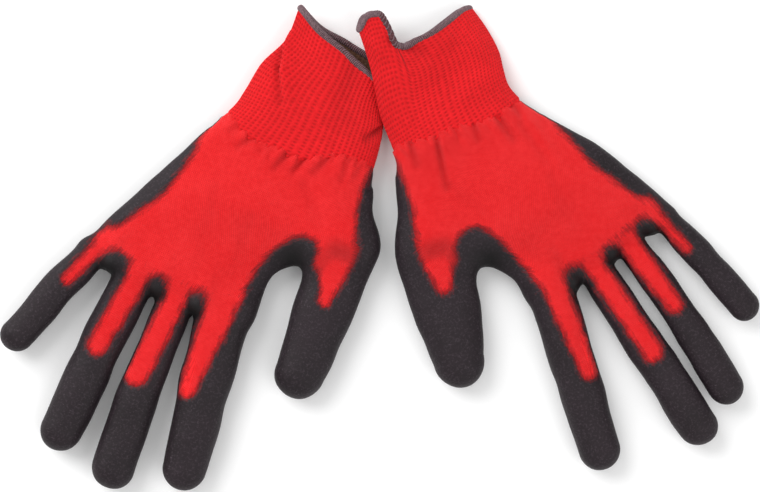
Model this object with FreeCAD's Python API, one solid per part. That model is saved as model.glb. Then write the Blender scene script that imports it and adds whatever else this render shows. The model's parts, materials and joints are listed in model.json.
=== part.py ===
import FreeCAD, Part
import math
import os

# A pair of knitted gardening gloves with a dipped palm, lying backs up.
# All sizes are in mm. The ground is z = 0 and the fingers point towards -Y.
# Each glove has its own plan directions: u runs towards the thumb and v runs
# from the wrist towards the fingers.

# ---- layers ----
COAT = 0.8          # dipped rubber skin
KNIT = 1.2          # knitted liner under it
CUFF_WALL = 1.6     # ribbed cuff
GAP = 0.8           # slit between two parts that fold against each other

# ---- whole glove ----
AXIS_HEIGHT = 9.4   # middle of the hand and of the digits above the ground
PALM_DEPTH = 20.0   # across the back and the palm
DIGIT_FLATNESS = 0.78  # depth of a digit over its width
COAT_RISE = 2.5     # how far the coating climbs past the middle of a side
COAT_START = 7.0    # first coated line beyond the wrist
CROTCH_PATCH = 7.5  # radius of the coated patch between two fingers
STUB_BACK = 22.0    # how far a digit tube reaches back into the hand

# ---- hem of the cuff ----
HEM_WIDTH = 3.8
HEM_SWELL = 0.8     # thread built up on each face of the cuff and past its end

# root (u, v), heading in degrees towards the thumb, length, radius at the root,
# radius at the tip, knuckle fold, middle fold, start of the fully coated end
RIGHT = {
    "wrist": (-35.7, 56.2),
    "thumb_side": 1.0,
    "splay": 25.0,
    "hand": [
        (0.4, -37.0, 36.0, 9.2),
        (25.0, -49.5, 41.0, 10.0),
        (50.0, -60.0, 29.0, 10.0),
        (75.0, -70.5, 15.0, 10.0),
        (95.0, -79.0, 13.0, 9.6),
        (105.0, -80.0, 12.0, 8.0),
    ],
    "thumb_base": ((18.0, -4.0), 15.0, (38.5, 46.0), 17.6),
    "crotches": [(-62.7, 103.0), (-35.8, 106.0), (-14.9, 105.0), (20.0, 62.0)],
    "digits": {
        "index": ((0.3, 102.9), 10.1, 86.2, 13.3, 11.2, 11.0, 40.0, 41.6),
        "middle": ((-24.8, 107.1), 3.7, 95.2, 9.4, 11.6, 11.0, 43.0, 43.0),
        "ring": ((-48.6, 107.4), -1.5, 88.0, 10.4, 11.2, 11.0, 39.0, 38.0),
        "little": ((-73.9, 100.6), -18.2, 61.0, 8.0, 8.8, 10.0, 28.0, 22.0),
        "thumb": ((41.6, 47.9), 4.1, 74.0, 15.8, 13.0, 20.0, 45.0, 30.0),
    },
    # u, v, z, half width, half depth, yaw, roll of the oval rings of the cuff
    "cuff": [
        (-0.5, -0.4, 9.2, 35.5, 8.8, 0.0, 0.0),
        (-2.0, -18.0, 8.8, 34.0, 7.8, 5.0, -2.0),
        (-0.8, -32.0, 8.4, 30.8, 7.2, 12.0, -5.0),
        (-1.5, -45.0, 8.8, 31.6, 6.8, 20.0, -6.0),
    ],
}
LEFT = {
    "wrist": (37.3, 63.2),
    "thumb_side": -1.0,
    "splay": 34.0,
    "hand": [
        (0.4, -31.0, 31.5, 9.2),
        (25.0, -40.0, 40.0, 10.0),
        (50.0, -52.0, 34.0, 10.0),
        (75.0, -60.5, 22.0, 10.0),
        (95.0, -65.5, 21.0, 9.6),
        (104.0, -66.0, 20.0, 8.0),
    ],
    "thumb_base": ((14.0, -4.0), 17.0, (44.0, 51.0), 19.2),
    "crotches": [(-50.3, 104.0), (-27.6, 103.0), (-3.9, 104.0), (25.0, 70.0)],
    "digits": {
        "index": ((8.9, 100.9), 16.4, 88.4, 11.6, 11.2, 11.0, 41.0, 45.0),
        "middle": ((-16.6, 107.1), 0.2, 96.5, 9.0, 10.8, 11.0, 44.0, 49.0),
        "ring": ((-38.7, 110.2), -0.4, 84.3, 7.4, 9.4, 9.0, 36.0, 34.0),
        "little": ((-60.5, 101.7), -8.9, 62.9, 6.9, 7.9, 11.0, 29.0, 21.0),
        "thumb": ((47.2, 53.8), 20.3, 62.8, 18.2, 13.8, 15.0, 37.0, 23.0),
    },
    "cuff": [
        (0.5, -0.4, 9.2, 30.8, 8.8, 0.0, 0.0),
        (-4.6, -18.0, 9.8, 33.6, 7.8, -5.0, 5.0),
        (-9.0, -34.0, 10.8, 31.2, 7.2, -14.0, 11.0),
        (-11.0, -50.5, 11.4, 30.0, 6.8, -23.0, 15.0),
    ],
}


def plan(glove, u, v, z=0.0):
    """A point of the glove from its own u, v and height."""
    turn = math.radians(glove["splay"])
    x0, y0 = glove["wrist"]
    x = x0 + glove["thumb_side"] * (u * math.cos(turn) - v * math.sin(turn))
    y = y0 - u * math.sin(turn) - v * math.cos(turn)
    return FreeCAD.Vector(x, y, z)


def heading(glove, degrees):
    """Plan direction at this angle from v towards the thumb."""
    turn = math.radians(degrees)
    return plan(glove, math.sin(turn), math.cos(turn)) - plan(glove, 0.0, 0.0)


def ring(glove, oval, inset=0.0, ahead=0.0):
    """Oval wire across the glove, shrunk by inset and moved ahead along the cuff."""
    u, v, z, half_width, half_depth, yaw, roll = oval
    flat = heading(glove, 90.0 - yaw)
    lean = math.radians(roll)
    up = FreeCAD.Vector(0.0, 0.0, 1.0)
    across = flat * math.cos(lean) + up * math.sin(lean)
    depth = up * math.cos(lean) - flat * math.sin(lean)
    centre = plan(glove, u, v, z) - heading(glove, -yaw) * ahead
    wide = centre + across * (half_width - inset)
    high = centre + depth * (half_depth - inset)
    return Part.Wire([Part.Ellipse(wide, high, centre).toBSpline().toShape()])


def above(shape, height):
    """The shape with everything under this height taken off, as it lies flat."""
    ground = Part.makeBox(500.0, 500.0, 50.0, FreeCAD.Vector(-250.0, -250.0, height - 50.0))
    return shape.cut(ground)


def digit_radius(digit, along):
    """Half width of a digit at a distance from its root."""
    length, root, tip = digit[2], digit[3], digit[4]
    return root + (tip - root) * max(along, 0.0) / length


def digit_flatness(digit):
    """Depth of a digit over its width, so that a thick one still clears the ground."""
    return min(DIGIT_FLATNESS, (AXIS_HEIGHT - 0.2) / digit[3])


def tube(glove, digit, start, end, inset):
    """Tapered oval length of a digit; an end of None runs out into the round tip."""
    length = digit[2]
    reach = length - inset if end is None else end
    r_start = digit_radius(digit, start) - inset
    profile = [FreeCAD.Vector(start, 0.0, 0.0), FreeCAD.Vector(start, r_start, 0.0)]
    if end is None:
        r_end = digit[4] - inset
        shoulder = FreeCAD.Vector(reach - r_end, r_end, 0.0)
        half = math.sqrt(0.5)
        on_arc = FreeCAD.Vector(reach - r_end + r_end * half, r_end * half, 0.0)
        tip = FreeCAD.Vector(reach, 0.0, 0.0)
        edges = [Part.makeLine(profile[0], profile[1])]
        edges.append(Part.makeLine(profile[1], shoulder))
        edges.append(Part.Arc(shoulder, on_arc, tip).toShape())
        edges.append(Part.makeLine(tip, profile[0]))
    else:
        r_end = digit_radius(digit, end) - inset
        profile.append(FreeCAD.Vector(reach, r_end, 0.0))
        profile.append(FreeCAD.Vector(reach, 0.0, 0.0))
        edges = Part.makePolygon(profile + profile[:1]).Edges
    face = Part.Face(Part.Wire(edges))
    body = face.revolve(FreeCAD.Vector(0, 0, 0), FreeCAD.Vector(1, 0, 0), 360.0)
    middle = 0.5 * (digit[3] + digit[4])
    flatness = (middle * digit_flatness(digit) - inset) / (middle - inset)
    squash = FreeCAD.Matrix()
    squash.scale(1.0, 1.0, flatness)
    body = body.transformGeometry(squash)
    way = heading(glove, digit[1])
    root = plan(glove, digit[0][0], digit[0][1], AXIS_HEIGHT)
    turn = FreeCAD.Rotation(FreeCAD.Vector(1, 0, 0), way)
    body.Placement = FreeCAD.Placement(root, turn)
    return body


def thumb_base(glove, inset):
    """The fleshy wedge between the wrist and the thumb."""
    (u0, v0), r0, (u1, v1), r1 = glove["thumb_base"]
    yaw = -math.degrees(math.atan2(u1 - u0, v1 - v0))
    half = 0.5 * PALM_DEPTH
    first = (u0, v0, AXIS_HEIGHT, r0, half - 1.2, yaw, 0.0)
    last = (u1, v1, AXIS_HEIGHT, r1, half - 0.4, yaw, 0.0)
    wires = [ring(glove, oval, inset) for oval in (first, last)]
    return Part.makeLoft(wires, True, True)


def digit_names(glove):
    return list(glove["digits"])


def hand_block(glove, inset):
    """Back and palm with the roots of the five digits, as one filled body."""
    wires = []
    for v, u_little, u_thumb, half_depth in glove["hand"]:
        centre = 0.5 * (u_little + u_thumb)
        half_width = 0.5 * (u_thumb - u_little)
        start = v - inset if v == glove["hand"][-1][0] else v
        wires.append(ring(glove, (centre, start, AXIS_HEIGHT, half_width, half_depth, 0.0, 0.0), inset))
    block = Part.makeLoft(wires, True, False)
    pieces = [thumb_base(glove, inset)]
    for name in digit_names(glove):
        digit = glove["digits"][name]
        back = STUB_BACK if name != "thumb" else 0.5 * STUB_BACK
        pieces.append(tube(glove, digit, -back, digit[5] - 0.5 * GAP, inset))
    block = block.multiFuse(pieces)
    return above(block.cut(behind_wrist(glove)), inset)


def behind_wrist(glove):
    """Everything on the cuff side of the wrist line."""
    block = Part.makeBox(300.0, 60.0, 80.0, FreeCAD.Vector(-150.0, -60.0, -20.0))
    turn = FreeCAD.Rotation(FreeCAD.Vector(0, 1, 0), heading(glove, 0.0))
    block.Placement = FreeCAD.Placement(plan(glove, 0.0, 0.5 * GAP), turn)
    return block


def digit_coat_zone(glove, digit):
    """Where a digit is coated: its palm side, and all round beyond the coating line."""
    reach = digit[2] + 20.0
    wide = 60.0
    under = Part.makeBox(reach + 40.0, wide, 40.0, FreeCAD.Vector(-40.0, -0.5 * wide, -40.0 + COAT_RISE))
    end = Part.makeBox(reach, wide, 60.0, FreeCAD.Vector(digit[7], -0.5 * wide, -30.0))
    zone = under.fuse(end)
    root = plan(glove, digit[0][0], digit[0][1], AXIS_HEIGHT)
    turn = FreeCAD.Rotation(FreeCAD.Vector(1, 0, 0), heading(glove, digit[1]))
    zone.Placement = FreeCAD.Placement(root, turn)
    return zone


def hand_coat_zone(glove):
    """Where the hand is coated: the palm, its sides and the forks between digits."""
    zone = Part.makeBox(300.0, 200.0, 60.0, FreeCAD.Vector(-150.0, 0.0, AXIS_HEIGHT + COAT_RISE - 60.0))
    turn = FreeCAD.Rotation(FreeCAD.Vector(0, 1, 0), heading(glove, 0.0))
    zone.Placement = FreeCAD.Placement(plan(glove, 0.0, COAT_START), turn)
    for u, v in glove["crotches"]:
        fork = Part.makeCylinder(CROTCH_PATCH, 40.0, plan(glove, u, v, -5.0))
        zone = zone.fuse(fork)
    return zone


def cuff_tube(glove, inset):
    return Part.makeLoft([ring(glove, oval, inset) for oval in glove["cuff"]], True, False)


def hem_ring(glove, inset):
    """Band about the end of the cuff, closing over its edge."""
    last = glove["cuff"][-1]
    start = ring(glove, last, inset, HEM_SWELL - HEM_WIDTH)
    end = ring(glove, last, inset, HEM_SWELL)
    return Part.makeLoft([start, end], True, True)


def build(glove):
    """All the pieces of one glove, by the end of their name."""
    coat, liner, inside = (hand_block(glove, inset) for inset in (0.0, COAT, COAT + KNIT))
    parts = {"liner_hand": liner.cut(inside)}
    parts["coating_palm"] = coat.cut(liner).common(hand_coat_zone(glove))
    for name in digit_names(glove):
        digit = glove["digits"][name]
        zone = digit_coat_zone(glove, digit)
        knuckle, middle = digit[5], digit[6]
        spans = {
            "lower": (knuckle + 0.5 * GAP, middle - 0.5 * GAP),
            "tip": (middle + 0.5 * GAP, None),
        }
        for span, (start, end) in spans.items():
            skin = tube(glove, digit, start, end, 0.0)
            knit = tube(glove, digit, start, end, COAT)
            hollow_end = None if end is None else end + 2.0
            hollow = tube(glove, digit, start - 2.0, hollow_end, COAT + KNIT)
            parts[name + "_liner_" + span] = knit.cut(hollow)
            parts[name + "_coating_" + span] = skin.cut(knit).common(zone)
    cuff = cuff_tube(glove, 0.0).cut(cuff_tube(glove, CUFF_WALL))
    hem = hem_ring(glove, -HEM_SWELL).cut(hem_ring(glove, CUFF_WALL + HEM_SWELL))
    parts["cuff"] = cuff
    parts["cuff_hem"] = hem.cut(cuff_tube(glove, 0.0).cut(cuff_tube(glove, CUFF_WALL)))
    return parts


def main():
    os.makedirs("parts", exist_ok=True)
    for side, glove in (("right", RIGHT), ("left", LEFT)):
        for name, shape in build(glove).items():
            solids = sorted(shape.Solids, key=lambda body: -body.Volume)
            piece = solids[0] if len(solids) == 1 else Part.makeCompound(solids)
            print(side, name, len(solids), round(piece.Volume, 1), piece.isValid())
            piece.exportStep("parts/" + side + "_" + name + ".step")


main()
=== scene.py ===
import json
import math
import bpy
import numpy as np
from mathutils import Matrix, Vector


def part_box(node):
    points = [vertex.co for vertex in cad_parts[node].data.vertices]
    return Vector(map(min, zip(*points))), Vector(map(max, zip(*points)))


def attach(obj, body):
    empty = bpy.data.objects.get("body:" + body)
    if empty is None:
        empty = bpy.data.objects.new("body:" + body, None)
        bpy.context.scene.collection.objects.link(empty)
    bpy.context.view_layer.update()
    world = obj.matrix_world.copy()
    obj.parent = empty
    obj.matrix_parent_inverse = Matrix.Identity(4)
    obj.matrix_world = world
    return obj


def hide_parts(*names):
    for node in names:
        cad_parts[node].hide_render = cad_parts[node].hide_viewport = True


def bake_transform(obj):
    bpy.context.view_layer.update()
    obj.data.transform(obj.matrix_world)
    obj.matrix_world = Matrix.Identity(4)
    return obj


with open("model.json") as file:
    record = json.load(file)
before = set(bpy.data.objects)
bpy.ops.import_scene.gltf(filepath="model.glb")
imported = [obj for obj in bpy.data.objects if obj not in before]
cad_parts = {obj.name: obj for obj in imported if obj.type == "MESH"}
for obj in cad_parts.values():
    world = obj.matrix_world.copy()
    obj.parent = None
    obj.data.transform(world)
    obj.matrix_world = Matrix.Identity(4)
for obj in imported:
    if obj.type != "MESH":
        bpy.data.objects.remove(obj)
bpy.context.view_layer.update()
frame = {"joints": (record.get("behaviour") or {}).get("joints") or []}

# A pair of knitted gardening gloves with a dipped palm. Lengths in the named values
# are in mm; u runs across a glove towards its thumb, v from the wrist to the fingers.

MM = 0.001
STEP = 0.95   # mesh size of the skin
AXIS_HEIGHT = 9.4     # middle of hand and digits above the ground
ROUND = 2.2           # squareness of the sections of hand, digits and cuff
DIGIT_DEPTH = 8.9     # half depth of a digit, at most DIGIT_FLAT of its half width
DIGIT_FLAT = 0.8
THUMB_DEPTH = 9.2     # half depth of the thumb base
WEB_DEPTH = 7.0       # and of the webs between the fingers
COAT_LIFT = 0.42      # thickness of the dipped skin
COAT_EDGE = 0.55      # the skin rises by this much over its edge
SLIM = 0.6            # fabric lies this far inside the named widths of the digits
TIP_ROUND = 1.2       # the round tip of a digit starts this much further on
TIP_LEAN = 0.6        # and lies this far towards the thumb side
WAIST = (0.25, 6.0)   # the digits narrow by this much, over this length, at their middle joint
FRONT_ROUND = 6.0     # rounding of the front edge of the flat of the hand
BASE_BLEND = 8.0      # rounding where the thumb base, digits and webs run into the hand
FINGER_BLEND = 5.0
THUMB_BLEND = 7.0
WEB_BLEND = 5.0
SWELL = (0.5, 34.0)   # height and length of the slow unevenness of the cloth
RIPPLE = (0.16, 13.0)       # and of the finer one
BACK_HEIGHT = (8.0, 12.0)   # creases fade in over these heights: they are on the back only
ROOM = 16.0           # the grid goes on this far beside the middle of the outer tips
GROUND = 0.15         # the fabric rests this far above the ground, rounded by GROUND_BLEND
GROUND_BLEND = 1.6
HAND_TUCK = 3.4       # the hand's fabric dives this deep under the cuff
PLEAT = 0.75          # height of the small pleats beside the gather line
KNIT_SPAN = 46.0      # half width of the knitting where it is spread over the hand
KNIT_DIGIT = 9.5      # the knitting follows a digit over this half width
WALE, COURSE = 1.25, 0.95   # width and height of a stitch of hand and digits
DIGITS = ("index", "middle", "ring", "little", "thumb")

# half width at the root, halfway and at the tip, sideways bow, length behind the knuckle fold
SHAPES = {
    "right": {
        "index": (13.6, 12.9, 10.6, -0.3, 22.0), "middle": (8.7, 10.5, 10.9, -1.0, 24.0),
        "ring": (10.3, 11.2, 10.6, -0.4, 22.0), "little": (7.6, 9.0, 8.3, 0.1, 11.0),
        "thumb": (15.4, 14.8, 12.3, 0.3, 26.0),
    },
    "left": {
        "index": (11.6, 11.5, 10.2, -0.2, 22.0), "middle": (8.6, 9.9, 10.0, -0.2, 24.0),
        "ring": (7.2, 8.5, 9.2, -0.6, 22.0), "little": (6.7, 7.6, 7.6, -0.4, 11.0),
        "thumb": (18.4, 16.9, 12.9, 0.2, 22.0),
    },
}
# v, edge at the little finger, edge at the thumb, half depth
HAND = {
    "right": [
        (-16.0, -37.4, 33.8, 8.6), (-8.0, -38.0, 35.2, 8.8), (0.0, -39.2, 36.2, 9.0),
        (16.0, -45.6, 39.6, 9.4), (32.0, -52.0, 43.0, 9.8), (46.0, -58.0, 38.0, 9.8),
        (58.0, -63.3, 24.0, 9.8), (70.0, -68.3, 14.0, 9.7), (84.0, -74.3, 12.5, 9.5),
        (98.0, -79.6, 12.5, 8.8),
    ],
    "left": [
        (-16.0, -37.6, 30.2, 8.6), (-8.0, -34.6, 32.6, 8.8), (0.0, -32.4, 34.2, 9.0),
        (16.0, -35.6, 42.6, 9.4), (32.0, -43.0, 50.0, 9.8), (46.0, -50.0, 49.0, 9.8),
        (60.0, -55.6, 37.0, 9.8), (72.0, -59.4, 23.5, 9.7), (84.0, -62.4, 19.0, 9.5),
        (98.0, -66.0, 20.0, 8.8),
    ],
}
WRIST_EDGE = -10.0    # the hand's fabric runs on under the cuff to here
FRONT = {"right": 98.5, "left": 97.5}   # where the flat of the hand ends
# where the digits part, from the little finger to the thumb: u, v
FORKS = {
    "right": [(-62.7, 103.0), (-35.8, 105.5), (-14.9, 104.5), (19.0, 60.0)],
    "left": [(-51.5, 102.4), (-27.6, 102.0), (-3.9, 103.5), (25.0, 68.0)],
}
WEB = 3.4             # radius of the web between two fingers
THUMB_BASE = {
    "right": ((17.0, -2.0), 12.8, (36.3, 44.0), 16.4),
    "left": ((15.0, -2.0), 13.0, (43.4, 50.0), 17.6),
}
# where the hand grows out of the ribbed cuff: u, v
GATHER = {
    "right": [(-40.0, 6.0), (-26.0, 12.5), (-12.0, 11.5), (1.0, 11.5), (12.0, 7.0), (36.0, 1.0)],
    "left": [(-34.0, 8.0), (-20.0, 8.6), (-8.0, 6.0), (2.0, 2.6), (12.0, 3.0), (34.0, -6.5)],
}
# creases on the back: start u, v, end u, v, depth, half width
CREASES = {
    "right": [
        (-21.0, 9.0, -29.0, 20.0, 3.0, 1.9), (-4.6, 10.0, -7.6, 22.0, 3.2, 1.9),
        (4.6, 8.5, 0.8, 20.0, 2.8, 1.7), (14.4, 5.5, 10.8, 16.5, 3.0, 1.8),
        (-14.0, 10.0, -16.5, 18.0, 1.8, 1.6), (24.0, 3.0, 25.0, 14.0, 1.8, 2.0),
        (-31.0, 6.0, -36.0, 15.0, 1.6, 1.8), (9.0, 24.0, 22.0, 38.0, 0.7, 3.5),
        (-30.0, 44.0, -22.0, 82.0, 0.5, 4.0), (-8.0, 50.0, -3.0, 84.0, 0.5, 4.0),
    ],
    "left": [
        (24.0, -5.0, 28.6, 8.0, 2.8, 1.9), (12.4, 1.6, 22.0, 26.0, 3.0, 1.9),
        (-7.4, 4.6, -4.6, 15.0, 2.9, 1.7), (-18.6, 7.6, -19.4, 24.0, 2.9, 2.0),
        (-27.8, 6.6, -28.8, 16.0, 2.3, 1.7), (2.0, 0.0, 3.4, 9.0, 1.2, 1.2),
        (-32.0, 11.0, -31.0, 46.0, -1.2, 2.6), (-26.0, 20.0, -27.0, 44.0, 0.8, 2.6),
        (-24.0, 50.0, -18.0, 84.0, 0.5, 4.0), (20.0, 26.0, 14.0, 46.0, 0.6, 3.5),
    ],
}


def joint(name):
    """The CAD joint of that name."""
    return next(j for j in frame["joints"] if j["name"] == name)


def smooth(edge0, edge1, x):
    """Rises softly from 0 at one edge to 1 at the other."""
    t = np.clip((x - edge0) / (edge1 - edge0), 0.0, 1.0)
    return t * t * (3.0 - 2.0 * t)


def curve(x, points, column):
    """Smooth curve through the named stations, evaluated at x."""
    xs = np.array([p[0] for p in points], float)
    ys = np.array([p[column] for p in points], float)
    slope = np.gradient(ys, xs)
    x = np.clip(x, xs[0], xs[-1])
    i = np.clip(np.searchsorted(xs, x) - 1, 0, len(xs) - 2)
    h = xs[i + 1] - xs[i]
    t = (x - xs[i]) / h
    a = (1 + 2 * t) * (1 - t) ** 2 * ys[i] + t * (1 - t) ** 2 * h * slope[i]
    return a + t * t * (3 - 2 * t) * ys[i + 1] + t * t * (t - 1) * h * slope[i + 1]


def soft_min(a, b, k):
    """Smaller of two values, rounded over the distance k where they meet."""
    h = np.maximum(k - np.abs(a - b), 0.0) / k
    return np.minimum(a, b) - 0.25 * k * h * h


def waves(p, wavelength, seed, count=7):
    """Smooth random field of about one in height, from a few plane waves."""
    rng = np.random.default_rng(seed)
    total = np.zeros(len(p))
    for _ in range(count):
        way = rng.normal(size=p.shape[1])
        way *= rng.uniform(0.7, 1.4) / (np.linalg.norm(way) * wavelength)
        total += np.sin(2.0 * math.pi * (p @ way) + rng.uniform(0.0, 2.0 * math.pi))
    return total / math.sqrt(0.5 * count) * 0.5


class Glove:
    """Plan directions and digits of one glove, read from the CAD joints and boxes."""

    def __init__(self, side):
        self.side = side
        wrist = joint(side + "_wrist")
        self.wrist = np.array(wrist["pos_m"][:2]) / MM
        middle = np.array(joint(side + "_middle_knuckle")["pos_m"][:2]) / MM
        v = np.array([-wrist["axis"][1], wrist["axis"][0]])
        self.v = v * np.sign(v @ (middle - self.wrist))
        u = np.array([-self.v[1], self.v[0]])
        thumb = np.array(joint(side + "_thumb_knuckle")["pos_m"][:2]) / MM
        self.u = u * np.sign(u @ (thumb - self.wrist))
        # whether u and v make a left-handed pair, which turns the faces over
        self.turned = self.u[0] * self.v[1] - self.u[1] * self.v[0] < 0.0
        self.digits = {name: self.digit(name) for name in DIGITS}

    def local(self, xy):
        d = np.asarray(xy) - self.wrist
        return np.array([d @ self.u, d @ self.v])

    def world(self, p):
        xy = self.wrist + p[:, :1] * self.u + p[:, 1:2] * self.v
        return np.column_stack([xy, p[:, 2]]) * MM

    def digit(self, name):
        """Place, direction, lengths and widths of a digit."""
        knuckle = joint(f"{self.side}_{name}_knuckle")
        bend = joint(f"{self.side}_{name}_middle")
        way = np.array([knuckle["axis"][1], -knuckle["axis"][0]])
        low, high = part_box(f"{self.side}_{name}_coating_tip")
        low, high = np.array(low[:2]) / MM, np.array(high[:2]) / MM
        root_r, half_r, tip_r, bow, back = SHAPES[self.side][name]
        centre = np.where(way < 0, low + tip_r, high - tip_r)
        k = self.local(np.array(knuckle["pos_m"][:2]) / MM)
        m = self.local(np.array(bend["pos_m"][:2]) / MM)
        way = np.array([way @ self.u, way @ self.v])
        reach = (self.local(centre) - k) @ way
        return {
            "knuckle": k, "way": way, "side": np.array([way[1], -way[0]]),
            "bend": (m - k) @ way, "reach": reach, "bow": bow, "back": back,
            "root_r": root_r, "half_r": half_r, "tip_r": tip_r,
        }

    def along(self, name, p):
        """Distance past the knuckle fold and distance to the thumb side of the digit's axis."""
        d = self.digits[name]
        q = p[:, :2] - d["knuckle"]
        return q @ d["way"], q @ d["side"]


def digit_width(d, a):
    """Half width and sideways offset of a digit at distances past its knuckle fold."""
    stations = [(-d["back"], d["root_r"], 0.0), (0.5 * (d["reach"] - 10.0), d["half_r"], d["bow"]),
                (d["reach"], d["tip_r"], TIP_LEAN)]
    return curve(a, stations, 1), curve(a, stations, 2)


def digit_field(glove, name, p):
    """Distance from the surface of one digit, negative inside, as in all the fields here."""
    d = glove.digits[name]
    a, w = glove.along(name, p)
    r, bow = digit_width(d, a)
    r = r - SLIM - WAIST[0] * np.exp(-((a - d["bend"]) / WAIST[1]) ** 2)
    flat = np.minimum(DIGIT_FLAT, DIGIT_DEPTH / r)
    w, z = np.abs(w - bow), np.abs(p[:, 2] - AXIS_HEIGHT) / flat
    cross = (w ** ROUND + z ** ROUND) ** (1 / ROUND)
    beyond = np.maximum(a - d["reach"] - TIP_ROUND, 0.0)
    behind = np.maximum(-a - d["back"], 0.0)
    return (np.sqrt(cross ** 2 + beyond ** 2 + behind ** 2) - r) * (0.5 + 0.5 * flat)


def base_field(glove, p):
    """The full part at the base of the thumb."""
    (u0, v0), r0, (u1, v1), r1 = THUMB_BASE[glove.side]
    a, b = np.array([u0, v0]), np.array([u1, v1])
    q = p[:, :2] - a
    t = np.clip(q @ (b - a) / ((b - a) @ (b - a)), 0.0, 1.0)
    side = np.linalg.norm(q - t[:, None] * (b - a), axis=1)
    r = r0 + (r1 - r0) * t
    z = (p[:, 2] - AXIS_HEIGHT) * r / THUMB_DEPTH
    return (np.sqrt(side ** 2 + z ** 2) - r) * 0.75


def palm_field(glove, p):
    """The flat of the hand, without thumb base and digits."""
    stations = HAND[glove.side]
    low, high = curve(p[:, 1], stations, 1), curve(p[:, 1], stations, 2)
    depth = curve(p[:, 1], stations, 3)
    half = 0.5 * (high - low)
    x = np.abs((p[:, 0] - 0.5 * (low + high)) / half)
    z = np.abs((p[:, 2] - AXIS_HEIGHT) / depth)
    r = (x ** ROUND + z ** ROUND) ** (1 / ROUND) + 1e-6
    slope = np.hypot((x / r) ** (ROUND - 1) / half, (z / r) ** (ROUND - 1) / depth) + 1e-6
    value = np.maximum((r - 1.0) / slope, -depth)
    return -soft_min(-value, -(p[:, 1] - FRONT[glove.side]) * 0.8, FRONT_ROUND)


def web_field(glove, p):
    """Small webs that fill the roots of the gaps between the fingers."""
    best = np.full(len(p), 1e3)
    z = (p[:, 2] - AXIS_HEIGHT) * WEB / WEB_DEPTH
    for u, v in FORKS[glove.side][:3]:
        far = np.hypot(p[:, 0] - u, p[:, 1] - (v - WEB))
        best = np.minimum(best, np.hypot(far, z) - WEB)
    return best


def gather_line(glove, u):
    """v where the hand grows out of the cuff: uneven, as every pleat pulls at it."""
    return curve(u, GATHER[glove.side], 1) + 0.9 * np.sin(u * 1.15 + 0.6) + 0.6 * np.sin(u * 2.3)


def creased(p, creases):
    """Height of soft creases: u, v at both ends, depth and half width; negative depth rises."""
    height = np.zeros(len(p))
    for u0, v0, u1, v1, depth, width in creases:
        e = np.array([u1 - u0, v1 - v0])
        q = p[:, :2] - (u0, v0)
        t = np.clip(q @ e / (e @ e), 0.0, 1.0)
        far = np.linalg.norm(q - t[:, None] * e, axis=1) / (width * (0.7 + 0.5 * t))
        height -= depth * (1.0 - 0.5 * t) * np.exp(-far ** 2)
    return height


def gathers(glove, p):
    """Growth of the hand out of the cuff, with creases where its fullness is drawn in."""
    u = p[:, 0]
    past = p[:, 1] - gather_line(glove, u)
    grow = -1.3 + 2.1 * smooth(-1.8, 2.6, past) - 0.6 * smooth(4.0, 20.0, past)
    grow = grow - HAND_TUCK * smooth(1.2, 4.2, -past)
    low, high = curve(p[:, 1], HAND[glove.side], 1), curve(p[:, 1], HAND[glove.side], 2)
    edge = smooth(0.78, 0.98, np.abs(2.0 * (u - low) / (high - low) - 1.0))
    grow = grow - 1.3 * edge * smooth(-1.8, 2.6, past) * (1.0 - smooth(5.0, 16.0, past))
    small = np.sin(u * 0.62 + 2.2 * np.sin(u * 0.13 + 1.0) + 0.9 * np.sin(u * 0.41))
    grow = grow + PLEAT * small * smooth(-1.0, 2.0, past) * (1.0 - smooth(3.0, 14.0, past))
    creases = creased(p, CREASES[glove.side]) * smooth(*BACK_HEIGHT, p[:, 2])
    return grow + creases * smooth(-2.0, 1.0, past)


def skin_field(glove, p):
    """The whole hand with its digits, resting flat on the ground."""
    palm = soft_min(palm_field(glove, p), base_field(glove, p), BASE_BLEND)
    total = None
    for name in DIGITS:
        blend = THUMB_BLEND if name == "thumb" else FINGER_BLEND
        one = soft_min(palm, digit_field(glove, name, p), blend)
        total = one if total is None else np.minimum(total, one)
    total = soft_min(total, web_field(glove, p), WEB_BLEND)
    seed = 11 if glove.side == "right" else 23
    total = total + SWELL[0] * waves(p * (1.0, 1.0, 0.4), SWELL[1], seed)
    total = total + RIPPLE[0] * waves(p, RIPPLE[1], seed + 1)
    total = total - gathers(glove, p)
    ground = GROUND - p[:, 2]
    return -soft_min(-total, -ground, GROUND_BLEND)


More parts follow.
